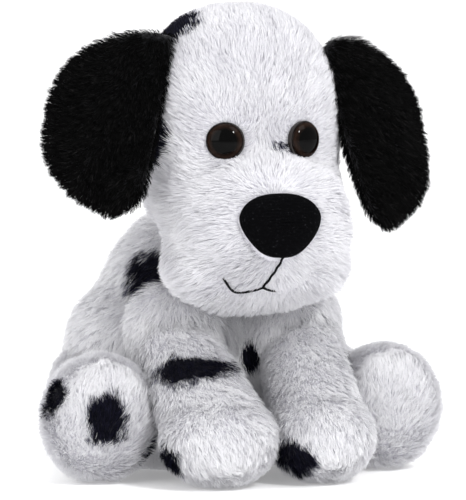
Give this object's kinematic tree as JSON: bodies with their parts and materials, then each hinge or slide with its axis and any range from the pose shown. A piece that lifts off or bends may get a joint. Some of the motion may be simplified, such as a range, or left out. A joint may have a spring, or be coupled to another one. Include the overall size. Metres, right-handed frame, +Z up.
{
  "type": "plush dog",
  "caption": "Seated plush puppy with a spotted white coat, black drop ears and brown eyes; its head, ears, legs and tail move on their stuffed seams.",
  "frame": {"origin": "bottom centre of the whole toy, on the ground under it", "axes": "+X to the toy's own left side, -Y the way it faces, +Z up"},
  "size_m": [0.176, 0.1843, 0.1985],
  "materials": {
    "white_pile": "white combed pile with near-black spots",
    "seat_cloth": "short white pile",
    "ear_pile": "long black pile",
    "ear_back_pile": "long black pile",
    "fibre_stuffing": "loose polyester fibre",
    "nose_cloth": "ribbed black knit",
    "mouth_thread": "twisted thread",
    "white_thread": "twisted thread",
    "eye_brown": "clear over dark brown",
    "eye_black": "black",
    "eye_base": "black",
    "eye_washer": "moulded",
    "pouch_cloth": "plain weave",
    "beans": "small moulded pellets"
  },
  "bodies": {
    "torso": {"back_panel_left": "white_pile", "back_panel_right": "white_pile", "chest_panel": "white_pile", "seat_panel": "seat_cloth", "torso_stuffing": "fibre_stuffing", "closing_stitches": "white_thread", "bean_pouch": "pouch_cloth", "bean_fill": "beans"},
    "neck": {"neck_sleeve": "white_pile", "neck_stuffing": "fibre_stuffing"},
    "head": {"crown_panel": "white_pile", "face_panel_left": "white_pile", "face_panel_right": "white_pile", "muzzle_panel": "white_pile", "chin_panel": "white_pile", "head_stuffing": "fibre_stuffing", "nose_cover": "nose_cloth", "nose_filling": "fibre_stuffing", "mouth_thread": "mouth_thread", "eye_lens_left": "eye_brown", "eye_lens_right": "eye_brown", "eye_pupil_left": "eye_black", "eye_pupil_right": "eye_black", "eye_base_left": "eye_base", "eye_base_right": "eye_base", "eye_washer_left": "eye_washer", "eye_washer_right": "eye_washer"},
    "tail": {"tail_cover": "white_pile", "tail_stuffing": "fibre_stuffing"},
    "ear_left": {"ear_front_left": "ear_pile", "ear_back_left": "ear_back_pile"},
    "foreleg_left": {"foreleg_outer_left": "white_pile", "foreleg_inner_left": "white_pile", "foreleg_stuffing_left": "fibre_stuffing"},
    "hindleg_left": {"hindleg_outer_left": "white_pile", "hindleg_inner_left": "white_pile", "hindleg_stuffing_left": "fibre_stuffing"},
    "ear_right": {"ear_front_right": "ear_pile", "ear_back_right": "ear_back_pile"},
    "foreleg_right": {"foreleg_outer_right": "white_pile", "foreleg_inner_right": "white_pile", "foreleg_stuffing_right": "fibre_stuffing"},
    "hindleg_right": {"hindleg_outer_right": "white_pile", "hindleg_inner_right": "white_pile", "hindleg_stuffing_right": "fibre_stuffing"}
  },
  "joints": [
    {"name": "head_turn", "type": "hinge", "parent": "torso", "child": "neck", "pos_m": [0, -0.0038, 0.076], "axis": [0, 0, 1], "range_deg": [-16, 16], "stiffness_Nm_per_rad": 0.25},
    {"name": "head_nod", "type": "hinge", "parent": "neck", "child": "head", "pos_m": [0, -0.0038, 0.104], "axis": [-1, 0, 0], "range_deg": [-2, 16], "stiffness_Nm_per_rad": 1.2},
    {"name": "ear_left_flap", "type": "hinge", "parent": "head", "child": "ear_left", "pos_m": [0.0414, -0.0468, 0.143], "axis": [0.2598, -0.2079, -0.943], "range_deg": [0, 30], "stiffness_Nm_per_rad": 0.02},
    {"name": "ear_right_flap", "type": "hinge", "parent": "head", "child": "ear_right", "pos_m": [-0.0414, -0.0468, 0.143], "axis": [0.2598, 0.2079, 0.943], "range_deg": [0, 30], "stiffness_Nm_per_rad": 0.02},
    {"name": "foreleg_left_swing", "type": "hinge", "parent": "torso", "child": "foreleg_left", "pos_m": [0.029, -0.0238, 0.056], "axis": [-1, 0, 0], "range_deg": [0, 30], "stiffness_Nm_per_rad": 0.08},
    {"name": "foreleg_right_swing", "type": "hinge", "parent": "torso", "child": "foreleg_right", "pos_m": [-0.029, -0.0238, 0.056], "axis": [-1, 0, 0], "range_deg": [0, 30], "stiffness_Nm_per_rad": 0.08},
    {"name": "hindleg_left_splay", "type": "hinge", "parent": "torso", "child": "hindleg_left", "pos_m": [0.053, 0.0172, 0.03], "axis": [0, 0, 1], "range_deg": [0, 25], "stiffness_Nm_per_rad": 0.1},
    {"name": "hindleg_right_splay", "type": "hinge", "parent": "torso", "child": "hindleg_right", "pos_m": [-0.053, 0.0172, 0.03], "axis": [0, 0, -1], "range_deg": [0, 25], "stiffness_Nm_per_rad": 0.1},
    {"name": "tail_wag", "type": "hinge", "parent": "torso", "child": "tail", "pos_m": [0, 0.0582, 0.024], "axis": [0, 0, 1], "range_deg": [-18, 18], "stiffness_Nm_per_rad": 0.02}
  ]
}
